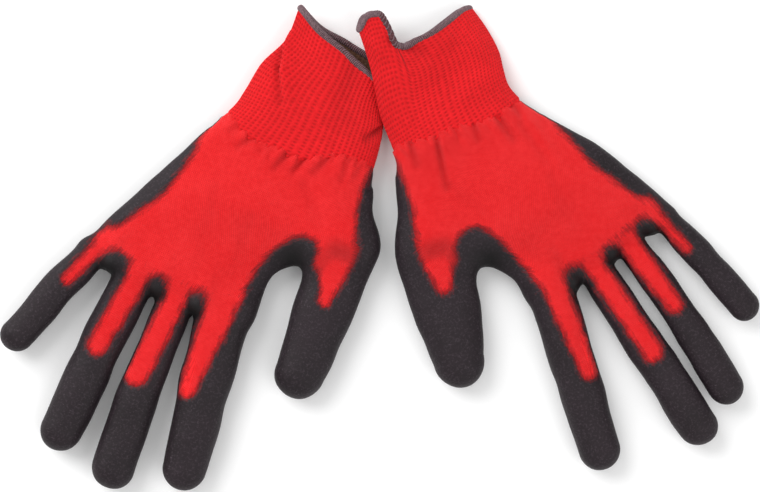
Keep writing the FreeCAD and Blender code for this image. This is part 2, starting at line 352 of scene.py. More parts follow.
def net(field, origin, step):
    """Quad mesh of the surface where a sampled field changes sign."""
    inside = field < 0.0
    n = np.array(field.shape) - 1
    corner = [(i, j, k) for i in (0, 1) for j in (0, 1) for k in (0, 1)]

    def part(values, c):
        return values[c[0]:c[0] + n[0], c[1]:c[1] + n[1], c[2]:c[2] + n[2]]

    count = sum(part(inside, c).astype(np.int8) for c in corner)
    cells = np.argwhere((count > 0) & (count < 8))
    index = np.full(tuple(n), -1, np.int64)
    index[tuple(cells.T)] = np.arange(len(cells))
    total = np.zeros((len(cells), 3))
    hits = np.zeros(len(cells))
    for a in corner:
        for axis in range(3):
            if a[axis]:
                continue
            b = tuple(1 if i == axis else a[i] for i in range(3))
            fa = field[tuple((cells + a).T)]
            fb = field[tuple((cells + b).T)]
            cross = (fa < 0.0) != (fb < 0.0)
            t = np.where(cross, fa / np.where(cross, fa - fb, 1.0), 0.0)
            place = np.array(a, float) + t[:, None] * (np.array(b) - np.array(a))
            total += place * cross[:, None]
            hits += cross
    points = origin + (cells + total / hits[:, None]) * step
    quads = []
    for axis in range(3):
        o1, o2 = [i for i in range(3) if i != axis]
        first = inside.take(range(n[axis]), axis)
        last = inside.take(range(1, n[axis] + 1), axis)
        edges = np.argwhere(first != last)
        e1, e2 = edges[:, o1], edges[:, o2]
        edges = edges[(e1 > 0) & (e2 > 0) & (e1 < n[o1]) & (e2 < n[o2])]
        out = first[tuple(edges.T)]
        around = []
        for d1, d2 in ((-1, -1), (0, -1), (0, 0), (-1, 0)):
            e = edges.copy()
            e[:, o1] += d1
            e[:, o2] += d2
            around.append(index[tuple(e.T)])
        q = np.column_stack(around)
        flip = out if axis != 1 else ~out
        q[~flip] = q[~flip][:, ::-1]
        quads.append(q)
    return points, np.concatenate(quads)


def gradient(glove, p, e=0.2):
    """Slope of the skin field, from differences over e to each side."""
    g = np.zeros_like(p)
    for axis in range(3):
        d = np.zeros(3)
        d[axis] = e
        g[:, axis] = (skin_field(glove, p + d) - skin_field(glove, p - d)) / (2 * e)
    return g


def skin_mesh(glove):
    """Surface of the hand and its digits, open at the wrist, in the glove's own frame."""
    tips = [d["knuckle"] + d["way"] * (d["reach"] + d["tip_r"]) for d in glove.digits.values()]
    left, right, front = min(t[0] for t in tips), max(t[0] for t in tips), max(t[1] for t in tips)
    low = np.array([left - ROOM, WRIST_EDGE, -1.6])
    high = np.array([max(right + ROOM, 62.0), front + 5.0, 25.0])
    shape = np.ceil((high - low) / STEP).astype(int) + 1
    grid = np.stack(np.meshgrid(*[np.arange(s) for s in shape], indexing="ij"), -1)
    p = low + grid.reshape(-1, 3) * STEP
    field = skin_field(glove, p).reshape(tuple(shape))
    points, quads = net(field, low, STEP)
    for _ in range(2):
        g = gradient(glove, points)
        f = skin_field(glove, points)
        points -= g * np.clip(f / np.maximum((g * g).sum(1), 0.2), -1.0, 1.0)[:, None]
    g = gradient(glove, points)
    normals = g / np.linalg.norm(g, axis=1)[:, None]
    if glove.turned:
        quads = quads[:, ::-1]
    return points, quads, normals


def knit_map(glove, p):
    """Wale and course coordinates in mm, following the hand and each digit."""
    stations = HAND[glove.side]
    v = p[:, 1]
    low, high = curve(v, stations, 1), curve(v, stations, 2)
    s = (p[:, 0] - 0.5 * (low + high)) / (0.5 * (high - low)) * KNIT_SPAN
    near, sd, td, reach = (np.zeros(len(p)) for _ in range(4))
    for name in DIGITS:
        d = glove.digits[name]
        a, w = glove.along(name, p)
        k = d["knuckle"]
        c0, c1 = curve(k[1:2], stations, 1)[0], curve(k[1:2], stations, 2)[0]
        start = (k[0] - 0.5 * (c0 + c1)) / (0.5 * (c1 - c0)) * KNIT_SPAN
        weight = np.exp(-(w / KNIT_DIGIT) ** 4) * smooth(-48.0, -8.0, a) + 1e-9
        if name == "thumb":
            weight = weight * smooth(-34.0, -12.0, a) + 1e-9
        near += weight
        sd += weight * (start + w)
        td += weight * (k[1] + a)
        reach = np.maximum(reach, weight)
    g = smooth(0.0, 1.0, np.clip(reach * 1.1, 0.0, 1.0))
    return np.column_stack([s * (1 - g) + sd / near * g, v * (1 - g) + td / near * g])


# ---- where the dipped skin ends on the back of each glove ----

STAIN_REACH = 0.8     # the outlines run along the stain, this far outside the skin's edge
PALM_EDGE = 9.0       # v where the skin starts on the palm side
POOL_AND_SHADE_REACH = 9.0      # the dip gathers, and its painted shade reaches, this far round each fork
COAT_START = -0.6     # the skin is cut where it has thinned out to this
STRIP_ROOT = -14.0    # the strips have their first width here, past the knuckle fold,
STRIP_BACK = -26.0    # reach back to here, and run into the bare back by STRIP_BLEND
STRIP_BLEND = 6.5
# per digit: end of the red strip past the knuckle fold, offset of the strip towards the
# thumb side and its half width, at the root and at its end
STRIPS = {
    "right": {
        "index": (30.0, -2.6, 7.9, -8.0, 4.4), "middle": (32.0, -0.4, 5.9, -4.6, 6.0),
        "ring": (26.0, 1.4, 5.6, -1.4, 4.8), "little": (9.0, 1.0, 3.8, 0.5, 2.7),
        "thumb": (6.8, -2.8, 7.4, -0.6, 2.8),
    },
    "left": {
        "index": (33.2, -2.6, 6.2, -6.0, 4.2), "middle": (37.6, -0.8, 5.4, -0.9, 4.9),
        "ring": (22.5, 0.7, 5.6, -0.6, 4.0), "little": (7.0, 2.7, 3.0, 2.7, 2.2),
        "thumb": (0.8, -0.9, 6.4, -0.8, 4.2),
    },
}
# outline of the uncoated back: u, v from the wrist at the little finger side round to the
# thumb side
BACK = {
    "right": [
        (-44.0, -20.0), (-47.0, 8.0), (-49.0, 20.0), (-48.2, 30.0), (-49.0, 40.0), (-52.5, 56.0),
        (-57.0, 65.0), (-66.0, 80.0), (-72.6, 91.0), (-68.5, 94.0), (-61.0, 92.5), (-43.0, 95.0),
        (-30.0, 94.5), (-10.0, 92.0), (3.5, 90.0), (4.5, 76.0), (7.0, 64.0), (10.5, 56.5),
        (15.0, 50.0), (20.0, 47.0), (25.5, 46.5), (29.0, 50.0), (31.0, 58.0), (44.0, 58.0),
        (45.5, 46.0), (42.0, 34.0), (38.0, 24.0), (36.0, 14.0), (36.0, 0.0), (39.0, -20.0),
    ],
    "left": [
        (-44.0, -20.0), (-38.0, 4.0), (-40.5, 20.0), (-41.5, 32.0), (-43.0, 44.0), (-44.5, 56.0),
        (-50.3, 72.0), (-56.2, 88.0), (-58.6, 94.0), (-50.0, 92.0), (-38.0, 93.0), (-24.0, 95.0),
        (-16.0, 94.0), (-4.0, 92.0), (10.5, 90.0), (12.5, 78.0), (14.8, 64.0), (16.8, 56.0),
        (20.0, 50.5), (25.0, 48.5), (31.0, 49.0), (36.0, 52.0), (39.0, 58.0), (51.0, 57.0),
        (51.5, 47.0), (47.0, 34.0), (41.5, 23.0), (38.5, 12.0), (36.0, 0.0), (38.0, -20.0),
    ],
}


def outline_distance(xy, outline):
    """Signed distance to a closed outline, negative inside."""
    points = np.array(outline, float)
    best = np.full(len(xy), 1e9)
    inside = np.zeros(len(xy), bool)
    for a, b in zip(points, np.roll(points, -1, axis=0)):
        e = b - a
        t = np.clip(((xy - a) @ e) / (e @ e), 0.0, 1.0)
        best = np.minimum(best, np.linalg.norm(xy - a - t[:, None] * e, axis=1))
        crosses = (a[1] > xy[:, 1]) != (b[1] > xy[:, 1])
        rise = np.where(crosses, b[1] - a[1], 1.0)
        x = a[0] + (xy[:, 1] - a[1]) / rise * (b[0] - a[0])
        inside ^= crosses & (xy[:, 0] < x)
    return np.where(inside, -best, best)


def coat_field(glove, p, normals, knit):
    """How far inside the dipped skin a point of the surface lies, in mm."""
    bare = outline_distance(p[:, :2], BACK[glove.side])
    for name, (end, off0, half0, off1, half1) in STRIPS[glove.side].items():
        a, w = glove.along(name, p)
        t = np.clip((a - STRIP_ROOT) / (end - half1 - STRIP_ROOT), 0.0, 1.0)
        ahead = np.maximum(a - (end - half1), 0.0)
        half = half0 + (half1 - half0) * t
        strip = np.hypot(w - off0 - (off1 - off0) * t, ahead) - half
        strip = np.maximum(strip, STRIP_BACK - a)
        bare = soft_min(bare, strip, STRIP_BLEND)
    ragged = 0.25 * waves(knit * (1.0, 0.3), 1.5, 5) + 0.4 * waves(knit * (1.0, 0.45), 5.0, 6)
    back = bare - STAIN_REACH + ragged
    turn = smooth(-0.1, 0.35, normals[:, 2])
    under = np.minimum(30.0, (p[:, 1] - PALM_EDGE) + ragged)
    return back * turn + np.maximum(under, np.minimum(back, 2.0)) * (1.0 - turn)


def pooled_and_shaded(glove, p):
    """How thick the dip has gathered, deepest in the forks between the digits; the coating's colour
    darkens with it, partly for the thicker rubber, partly as painted shade between the digits.
    """
    total = np.zeros(len(p))
    for fork in FORKS[glove.side]:
        far = np.linalg.norm(p[:, :2] - fork, axis=1) / POOL_AND_SHADE_REACH
        total = np.maximum(total, np.exp(-far ** 2))
    return total


# ---- meshes and pieces ----

GLOVES = bpy.data.collections.new("gloves")
bpy.context.scene.collection.children.link(GLOVES)


def add_mesh(name, points, faces, material, uv=None, normals=None, values=None):
    """A smooth piece of a glove, with its knit map, shading and named values per point."""
    mesh = bpy.data.meshes.new(name)
    mesh.from_pydata(points.tolist(), [], faces.tolist())
    mesh.update()
    mesh.polygons.foreach_set("use_smooth", np.ones(len(mesh.polygons), bool))
    corner = np.zeros(len(mesh.loops), np.int64)
    mesh.loops.foreach_get("vertex_index", corner)
    if uv is not None:
        layer = mesh.uv_layers.new(name="knit")
        layer.data.foreach_set("uv", (uv[corner] * 0.01).astype(np.float32).ravel())
    for key, value in (values or {}).items():
        attribute = mesh.attributes.new(key, "FLOAT", "POINT")
        attribute.data.foreach_set("value", value.astype(np.float32))
    if normals is not None:
        mesh.normals_split_custom_set_from_vertices(normals.tolist())
    obj = bpy.data.objects.new(name, mesh)
    GLOVES.objects.link(obj)
    obj.data.materials.append(material)
    return obj


def submesh(points, faces, keep):
    """Points used by the kept faces, and those faces renumbered to them."""
    used = np.unique(faces[keep])
    renumber = np.full(len(points), -1)
    renumber[used] = np.arange(len(used))
    return used, renumber[faces[keep]]


def vertex_normals(points, faces):
    """Shading of the whole layer, so that no seam shows where its pieces meet."""
    a, b, c, d = (points[faces[:, i]] for i in range(4))
    n = np.cross(c - a, d - b)
    total = np.zeros_like(points)
    for i in range(4):
        np.add.at(total, faces[:, i], n)
    return total / np.maximum(np.linalg.norm(total, axis=1), 1e-12)[:, None]


# ---- materials ----

FOLD_SHADE = 0.6      # how far the painted shade darkens the yarn in a crease
HAND_FOLD = 3.4       # depth at which the painted shade of a crease is at its darkest, on the hand
CUFF_FOLD = 2.0       # and on the cuff


class Nodes:
    """Short hand for building a node material."""

    def __init__(self, name):
        self.material = bpy.data.materials.new(name)
        self.material.use_nodes = True
        self.tree = self.material.node_tree
        self.shader = self.tree.nodes["Principled BSDF"]

    def add(self, kind, **settings):
        node = self.tree.nodes.new(kind)
        for key, value in settings.items():
            setattr(node, key, value)
        return node

    def link(self, a, b):
        self.tree.links.new(a, b)

    def math(self, operation, *values):
        node = self.add("ShaderNodeMath", operation=operation)
        for socket, value in zip(node.inputs, values):
            if hasattr(value, "is_output"):
                self.link(value, socket)
            else:
                socket.default_value = value
        return node.outputs[0]

    def noise(self, vector, scale, detail=3.0, rough=0.55):
        node = self.add("ShaderNodeTexNoise")
        node.inputs["Scale"].default_value = scale
        node.inputs["Detail"].default_value = detail
        node.inputs["Roughness"].default_value = rough
        self.link(vector, node.inputs["Vector"])
        return node.outputs["Fac"]

    def mix(self, share, a, b):
        node = self.add("ShaderNodeMix", data_type="RGBA")
        for socket, value in ((node.inputs[0], share), (node.inputs[6], a), (node.inputs[7], b)):
            if hasattr(value, "is_output"):
                self.link(value, socket)
            else:
                socket.default_value = value
        return node.outputs[2]

    def attribute(self, name):
        return self.add("ShaderNodeAttribute", attribute_name=name).outputs["Fac"]

    def mapped(self, value, low, high, to_low=0.0, to_high=1.0):
        node = self.add("ShaderNodeMapRange")
        node.inputs["From Min"].default_value = low
        node.inputs["From Max"].default_value = high
        node.inputs["To Min"].default_value = to_low
        node.inputs["To Max"].default_value = to_high
        self.link(value, node.inputs["Value"])
        return node.outputs["Result"]

    def bump(self, height, distance, strength=1.0, normal=None):
        node = self.add("ShaderNodeBump")
        node.inputs["Distance"].default_value = distance
        node.inputs["Strength"].default_value = strength
        self.link(height, node.inputs["Height"])
        if normal is not None:
            self.link(normal, node.inputs["Normal"])
        return node.outputs["Normal"]


def colour(red, green, blue):
    """Linear colour from the usual 0 to 255 values."""
    out = []
    for value in (red, green, blue):
        c = value / 255.0
        out.append(c / 12.92 if c <= 0.04045 else ((c + 0.055) / 1.055) ** 2.4)
    return (*out, 1.0)


def stitches(n):
    """Height of plain knitting: columns of V-shaped stitches, from the knit map."""
    uv = n.add("ShaderNodeUVMap", uv_map="knit")
    split = n.add("ShaderNodeSeparateXYZ")
    n.link(uv.outputs["UV"], split.inputs[0])
    s = n.math("MULTIPLY", split.outputs["X"], 100.0 / WALE)
    t = n.math("MULTIPLY", split.outputs["Y"], 100.0 / COURSE)
    leg = n.math("ABSOLUTE", n.math("SUBTRACT", n.math("FRACT", s), 0.5))
    away = n.math("ABSOLUTE", n.math("SUBTRACT", n.math("MULTIPLY", leg, 4.0), 1.0))
    column = n.math("SUBTRACT", 1.0, n.math("POWER", away, 2.0))
    lean = n.math("ADD", t, n.math("MULTIPLY", leg, 1.5))
    row = n.math("MULTIPLY_ADD", n.math("SINE", n.math("MULTIPLY", lean, 2.0 * math.pi)), 0.5, 0.5)
    column = n.math("MULTIPLY_ADD", column, 0.75, 0.25)
    row = n.math("MULTIPLY_ADD", row, 0.55, 0.45)
    return n.math("MULTIPLY", column, row), uv.outputs["UV"]


def knit_colours(n, height, low, high, deep):
    """Red yarn: mottled, with painted shade in the hollows between the stitches and in the creases,
    lighter where the fibres stand out.
    """
    place = n.add("ShaderNodeTexCoord").outputs["Object"]
    cloud, fuzz = n.noise(place, 55.0, 4.0), n.noise(place, 1500.0, 2.0)
    grain = n.noise(place, 420.0, 2.0)
    tone = n.math("ADD", n.mapped(cloud, 0.3, 0.7, 0.0, 0.6), n.mapped(grain, 0.3, 0.7, -0.2, 0.6))
    red = n.mix(tone, low, high)
    # painted shade: towards the deep colour in the hollows between the stitches
    red = n.mix(n.mapped(height, 0.05, 0.75), deep, red)
    # painted shade: the yarn darkens in the creases, where shade falls
    fold = n.attribute("fold")
    red = n.mix(n.math("MULTIPLY", fold, FOLD_SHADE), red, colour(120, 4, 12))
    return n.mix(n.math("MULTIPLY", fuzz, 0.28), red, colour(240, 52, 50)), fuzz


def finish_knit(n, red, fuzz, height, depth):
    n.link(red, n.shader.inputs["Base Color"])
    n.shader.inputs["Roughness"].default_value = 0.86
    n.shader.inputs["Specular IOR Level"].default_value = 0.18
    n.shader.inputs["Sheen Weight"].default_value = 0.05
    n.shader.inputs["Sheen Roughness"].default_value = 0.5
    n.link(n.bump(height, depth, 0.9, n.bump(fuzz, 0.00012, 0.5)), n.shader.inputs["Normal"])
    return n.material


def soaked(n, uv):
    """How far the dip has soaked in: stepped along the stitches, from red yarn to rubber."""
    coat = n.attribute("coat")
    pool_and_shade = n.attribute("pool_and_shade")
    total = n.math("ADD", coat, n.math("MULTIPLY", pool_and_shade, 0.8))
    for scale, reach in (((80.0, 12.0, 1.0), 1.2), ((80.0, 95.0, 1.0), 0.8)):
        stretch = n.add("ShaderNodeMapping")
        stretch.inputs["Scale"].default_value = scale
        n.link(uv, stretch.inputs["Vector"])
        uneven = n.noise(stretch.outputs["Vector"], 1.0, 2.0, 0.6)
        total = n.math("ADD", total, n.mapped(uneven, 0.25, 0.75, -reach, reach))
    return n.math("POWER", n.mapped(total, -3.0, 1.4), 0.75)


def hand_material():
    n = Nodes("red_knit")
    height, uv = stitches(n)
    # yarn from dark to light, then the deep colour of the painted shade between the stitches
    shades = colour(240, 24, 30), colour(255, 46, 50), colour(176, 8, 16)
    red, fuzz = knit_colours(n, height, *shades)
    red = n.mix(soaked(n, uv), red, colour(46, 16, 22))
    return finish_knit(n, red, fuzz, height, 0.0004)


def rib_material():
    n = Nodes("red_rib_knit")
    uv = n.add("ShaderNodeUVMap", uv_map="knit")
    split = n.add("ShaderNodeSeparateXYZ")
    n.link(uv.outputs["UV"], split.inputs[0])
    dips = []
    for axis in ("X", "Y"):
        turn = n.math("MULTIPLY", split.outputs[axis], 200.0 * math.pi)
        dips.append(n.math("MULTIPLY_ADD", n.math("COSINE", turn), -0.5, 0.5))
    height = n.math("SUBTRACT", 1.0, n.math("MULTIPLY", dips[0], dips[1]))
    # rib yarn from dark to light, then the deep colour of the painted shade in the pits between
    # ribs and rows
    shades = colour(190, 8, 17), colour(216, 16, 26), colour(168, 6, 15)
    red, fuzz = knit_colours(n, height, *shades)
    inside = n.attribute("inside")
    red = n.mix(inside, red, colour(92, 66, 50))
    return finish_knit(n, red, fuzz, height, 0.0003)


def coating_material():
    n = Nodes("dipped_rubber")
    place = n.add("ShaderNodeTexCoord").outputs["Object"]
    height, uv = stitches(n)
    cloud = n.noise(place, 40.0, 5.0)
    grain = n.noise(place, 900.0, 3.0)
    crinkle = n.noise(place, 260.0, 4.0, 0.6)
    dark = n.mix(n.mapped(cloud, 0.3, 0.7), colour(25, 17, 21), colour(37, 28, 33))
    fleck = n.math("MULTIPLY", n.mapped(grain, 0.5, 0.72), n.mapped(height, 0.2, 0.9))
    dark = n.mix(n.math("MULTIPLY", fleck, 0.6), dark, colour(84, 72, 80))
    pool_and_shade = n.attribute("pool_and_shade")
    # near black in the forks: partly the thicker pooled rubber, partly painted shade between the
    # digits
    dark = n.mix(pool_and_shade, dark, colour(6, 3, 4))
    dark = n.mix(soaked(n, uv), colour(150, 10, 18), dark)
    n.link(dark, n.shader.inputs["Base Color"])
    n.link(n.mapped(cloud, 0.3, 0.7, 0.5, 0.64), n.shader.inputs["Roughness"])
    n.shader.inputs["Specular IOR Level"].default_value = 0.24
    first = n.bump(crinkle, 0.0005, 0.55)
    second = n.bump(grain, 0.00018, 0.5, first)
    n.link(n.bump(height, 0.00022, 0.35, second), n.shader.inputs["Normal"])
    return n.material


def hem_material(name, low, high):
    n = Nodes(name)
    place = n.add("ShaderNodeTexCoord").outputs["Object"]
    fibre = n.noise(place, 1400.0, 3.0)
    n.link(n.mix(n.mapped(fibre, 0.3, 0.7), low, high), n.shader.inputs["Base Color"])
    n.shader.inputs["Roughness"].default_value = 0.8
    n.shader.inputs["Specular IOR Level"].default_value = 0.25
    n.link(n.bump(fibre, 0.0002, 0.6), n.shader.inputs["Normal"])
    return n.material


KNIT = hand_material()
RIB = rib_material()
RUBBER = coating_material()
HEM = hem_material("overlock_thread", colour(78, 58, 64), colour(132, 108, 112))
HEM_CORE = hem_material("hem_edge", colour(60, 30, 34), colour(98, 62, 66))


# distances past each knuckle fold: the first bounds a digit's pieces, both give the bend ends
# listed with each lower piece
KNUCKLE_BEND = {
    "index": (-9.0, 12.0), "middle": (-11.0, 12.0), "ring": (-11.0, 11.0), "little": (-9.0, 8.0),
    "thumb": (-4.0, 12.0),
}
MIDDLE_BEND = {"index": 14.0, "middle": 14.0, "ring": 12.0, "little": 8.0, "thumb": 12.0}
WRIST_BEND = (8.0, -16.0)      # v where the bend of the wrist starts and ends
WRIST_ENDS = np.array([[0.0, v, 0.0] for v in WRIST_BEND])


def regions(glove, middle):
    """Piece number of every face; per piece its title, CAD node, two bodies and bend ends."""
    side = glove.side
    label = (middle[:, 1] < WRIST_BEND[0] + 3.0).astype(int)
    wrist_bodies = (side + "_hand", side + "_cuff")
    pieces = [("hand", "hand", None, None), ("wrist", "hand", wrist_bodies, WRIST_ENDS)]
    nearest = np.full(len(middle), 3.5)
    for name in DIGITS:
        d = glove.digits[name]
        a, w = glove.along(name, middle)
        r, bow = digit_width(d, a)
        far = np.where(a > KNUCKLE_BEND[name][0], np.abs(w - bow) - r, 99.0)
        mine = far < nearest
        nearest[mine] = far[mine]
        k, way = np.array([*d["knuckle"], 0.0]), np.array([*d["way"], 0.0])
        reach = MIDDLE_BEND[name]
        middle_span = (d["bend"] - reach, d["bend"] + reach)
        for part, span in (("lower", KNUCKLE_BEND[name]), ("tip", middle_span)):
            label[mine & ((a > 0.5 * d["bend"]) == (part == "tip"))] = len(pieces)
            title = f"{name}_{part}"
            first = f"{side}_hand" if part == "lower" else f"{side}_{name}_lower"
            ends = np.array([k + way * span[0], k + way * span[1]])
            pieces.append((title, title, (first, f"{side}_{title}"), ends))
    return label, pieces


def build_skin(glove):
    """Liner and coating of hand and digits, cut into pieces; the hand's own piece rides on its
    body, the others are left in place.
    """
    side = glove.side
    points, quads, normals = skin_mesh(glove)
    knit = knit_map(glove, points)
    coat = coat_field(glove, points, normals, knit)
    pool_and_shade = pooled_and_shaded(glove, points)
    # painted shade in the creases of the back, kept as the value fold for the yarn's colour
    fold = np.clip(-creased(points, CREASES[side]) / HAND_FOLD, 0.0, 1.0)
    fold = fold * smooth(*BACK_HEIGHT, points[:, 2])
    lift = COAT_EDGE * (smooth(COAT_START, 0.9, coat) - 1.0) + COAT_LIFT + 0.25 * pool_and_shade
    outer = points + normals * lift[:, None]
    outer[:, 2] = np.maximum(outer[:, 2], 0.02)
    label, pieces = regions(glove, points[quads].mean(axis=1))
    coated = coat[quads].max(axis=1) > COAT_START
    for layer, shape, faces_on, material in (
        ("liner", glove.world(points), np.ones(len(quads), bool), KNIT),
        ("coating", glove.world(outer), coated, RUBBER),
    ):
        shading = vertex_normals(shape, quads)
        for number, (title, node, bodies, ends) in enumerate(pieces):
            keep = faces_on & (label == number)
            if not keep.any():
                continue
            used, faces = submesh(shape, quads, keep)
            values = {"coat": coat[used], "pool_and_shade": pool_and_shade[used], "fold": fold[used]}
            name = f"{side}_{title}_{layer}_skin"
            obj = add_mesh(name, shape[used], faces, material, knit[used], shading[used], values)
            if node == "hand":
                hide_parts(side + ("_liner_hand" if layer == "liner" else "_coating_palm"))
            else:
                digit, part = node.split("_")
                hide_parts(f"{side}_{digit}_{layer}_{part}")
            if bodies is None:
                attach(obj, side + "_hand")
            else:
                world_ends = glove.world(ends)
                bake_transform(obj)


# ---- the ribbed cuffs ----
# sections beyond the wrist: u, v, height, half width, half depth, yaw, roll
CUFF = {
    "right": [
        (-1.5, -18.0, 8.8, 35.2, 7.9, 5.0, -2.0), (-0.6, -32.0, 8.6, 30.4, 7.3, 12.0, -5.0),
        (-1.5, -45.4, 8.8, 31.6, 6.9, 20.0, -6.0),
    ],
    "left": [
        (-3.9, -18.0, 9.8, 34.2, 7.8, -5.0, 5.0), (-9.0, -34.0, 10.8, 31.4, 7.2, -14.0, 11.0),
        (-11.0, -51.0, 11.4, 30.0, 6.9, -23.0, 15.0),
    ],
}
# how far the rim runs beyond the last section, from little finger (-1) to thumb side (1),
# on the back and on the palm side
RIM_BACK = {
    "right": [(-1.0, 0.8), (-0.5, -1.0), (0.0, 0.4), (0.5, 1.2), (1.0, 1.2)],
    "left": [
        (-1.0, 4.0), (-0.85, 3.6), (-0.6, 0.4), (-0.25, -4.6), (0.1, -8.0), (0.36, -9.2),
        (0.46, -6.4), (0.52, 1.0), (0.58, 6.4), (0.72, 8.8), (0.88, 7.8), (1.0, 3.0),
    ],
}
RIM_PALM = {
    "right": [(-1.0, 0.8), (-0.5, 0.8), (0.0, 5.4), (0.4, 8.0), (0.7, 6.4), (1.0, 1.2)],
    "left": RIM_BACK["left"],
}
# creases of the cuff, as in CREASES
CUFF_FOLDS = {
    "right": [
        (-29.5, -42.0, -24.0, -24.0, -2.2, 3.0), (-24.0, -24.0, -14.0, -9.0, -1.6, 3.0),
        (-31.5, -34.0, -28.6, -24.0, 2.0, 1.8), (-28.6, -24.0, -19.5, -8.0, 1.8, 1.8),
        (6.0, -40.0, 12.0, -14.0, 0.8, 6.0), (32.5, -18.5, 28.0, -10.5, 2.8, 2.0),
    ],
    "left": [
        (4.0, -50.0, -10.0, -30.0, 1.6, 3.6), (-20.0, -36.0, 6.0, -24.0, -1.0, 6.0),
        (12.0, -54.0, 8.0, -34.0, -1.2, 4.0),
    ],
}
RIBS = 72
ROW = 1.75            # distance from row to row of the ribbing
CUFF_WALL = 1.5
CUFF_TOP = 18.0       # the ribbing runs on under the hand to here
CUFF_TUCK = 2.4       # and dives this deep there
INNER_ROWS = 24       # rows of the mesh of its inner wall
HEM_WIDTH = 3.3
HEM_STEPS = (360, 14)        # mesh steps round the mouth and round the band
HEM_CORE_DEPTH = 1.45        # half depth of the band
THREAD_DEPTH = 1.5           # and of the loop the thread makes round it
THREAD_TURNS = 220
THREAD_STEPS = 12            # mesh steps of one turn
THREAD_LEAN = 0.02           # how far a turn leans, in radians round the mouth
THREAD_SIDES = 6
THREAD_HALF = (0.16, 0.36)   # half height and half width of the thread


def cuff_stations(glove):
    """Sections of the cuff: distance down it, then u, v and the rest as in CUFF."""
    out = []
    for v in (CUFF_TOP, 9.0, 0.0, -8.0):
        low, high, deep = (float(curve(np.array([v]), HAND[glove.side], c)[0]) for c in (1, 2, 3))
        middle, half = 0.5 * (low + high), 0.5 * (high - low)
        out.append((CUFF_TOP - v, middle, v, AXIS_HEIGHT, half, deep, 0.0, 0.0))
    for station in CUFF[glove.side]:
        out.append((CUFF_TOP - station[1], *station))
    return out


def cuff_point(glove, down, angle, grow, ahead=0.0):
    """Points of the cuff: distance down it, angle round it, grown outwards."""
    stations = cuff_stations(glove)
    u, v, z, wide, deep, yaw, roll = (curve(down, stations, c) for c in range(1, 8))
    yaw, roll = np.radians(yaw), np.radians(roll)
    c, s = np.cos(angle), np.sin(angle)
    x1 = np.sign(c) * np.abs(c) ** (2.0 / ROUND) * (wide + grow)
    z1 = np.sign(s) * np.abs(s) ** (2.0 / ROUND) * (deep + grow)
    back, palm = curve(c, RIM_BACK[glove.side], 1), curve(c, RIM_PALM[glove.side], 1)
    rim = palm + (back - palm) * smooth(-0.25, 0.25, s)
    ahead = ahead + rim * smooth(CUFF_TOP + 6.0, stations[-1][0], down)
    across, rise = x1 * np.cos(roll) - z1 * np.sin(roll), x1 * np.sin(roll) + z1 * np.cos(roll)
    px = u + across * np.cos(yaw) + ahead * np.sin(yaw)
    py = v + across * np.sin(yaw) - ahead * np.cos(yaw)
    return np.column_stack([px, py, z + rise])


def tube_faces(around, along):
    """Faces of an open tube of closed rings."""
    i, j = np.meshgrid(np.arange(along - 1), np.arange(around), indexing="ij")
    k = (j + 1) % around
    here, below = i * around, (i + 1) * around
    return np.stack([here + j, here + k, below + k, below + j], -1).reshape(-1, 4)


def build_cuff(glove):
    """The ribbed tube with its inner wall, and the hem over its end."""
    side = glove.side
    length = cuff_stations(glove)[-1][0]
    around, along = RIBS * 6, round(length / ROW * 5) + 1
    turn = np.arange(around) / around * 2.0 * math.pi
    down = np.concatenate([np.linspace(0.0, length, along), np.linspace(length, 0.0, INNER_ROWS)])
    a, s = np.tile(turn, len(down)), np.repeat(down, around)
    inner = np.repeat(np.arange(len(down)) >= along, around)
    rib = 0.5 - 0.5 * np.cos(a * RIBS)
    row = 0.5 - 0.5 * np.cos(2.0 * math.pi * s / ROW)
    relief = 0.2 - 0.1 * rib - 0.22 * rib * row
    round_about = np.column_stack([np.cos(a) * 30.0, np.sin(a) * 30.0, s])
    wave = waves(round_about, 26.0, 41 if side == "right" else 47)
    plain = cuff_point(glove, s, a, 0.0)
    folds = creased(plain, CUFF_FOLDS[side]) * smooth(0.0, 0.4, np.sin(a))
    loose = smooth(CUFF_TOP - 4.0, CUFF_TOP + 8.0, s)
    grow = np.where(inner, -CUFF_WALL, relief) + (0.35 * wave + folds) * loose
    past = plain[:, 1] - gather_line(glove, plain[:, 0])
    grow = grow - CUFF_TUCK * smooth(0.4, 4.0, past)
    points = cuff_point(glove, s, a, grow)
    points[:, 2] = np.maximum(points[:, 2], 0.05)
    faces = tube_faces(around, len(down))
    if glove.turned:
        faces = faces[:, ::-1]
    map_uv = np.column_stack([a / (2 * math.pi) * RIBS, s / ROW])
    # painted shade in the cuff's creases, kept as the value fold
    values = {"inside": inner.astype(float), "fold": np.clip(-folds / CUFF_FOLD, 0.0, 1.0)}
    obj = add_mesh(side + "_rib_cuff", glove.world(points), faces, RIB, map_uv, None, values)
    corner = np.zeros(len(obj.data.loops), np.int64)
    obj.data.loops.foreach_get("vertex_index", corner)
    uv = map_uv[corner].reshape(-1, 4, 2)
    wrap = (uv[:, :, 0].max(1) - uv[:, :, 0].min(1)) > 0.5 * RIBS
    uv[wrap, :, 0] = np.where(uv[wrap, :, 0] < 0.5 * RIBS, uv[wrap, :, 0] + RIBS, uv[wrap, :, 0])
    obj.data.uv_layers["knit"].data.foreach_set("uv", (uv.reshape(-1) * 0.01).astype(np.float32))
    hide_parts(side + "_cuff")
    ends = glove.world(WRIST_ENDS)
    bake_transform(obj)
    build_hem(glove)


def ring_faces(around, ring):
    """Faces of a closed ring of rings."""
    i, j = np.meshgrid(np.arange(around), np.arange(ring), indexing="ij")
    ii, jj = (i + 1) % around, (j + 1) % ring
    return np.stack([i * ring + j, ii * ring + j, ii * ring + jj, i * ring + jj], -1).reshape(-1, 4)


def unit(v):
    """Rows of v at length one."""
    return v / np.linalg.norm(v, axis=1)[:, None]


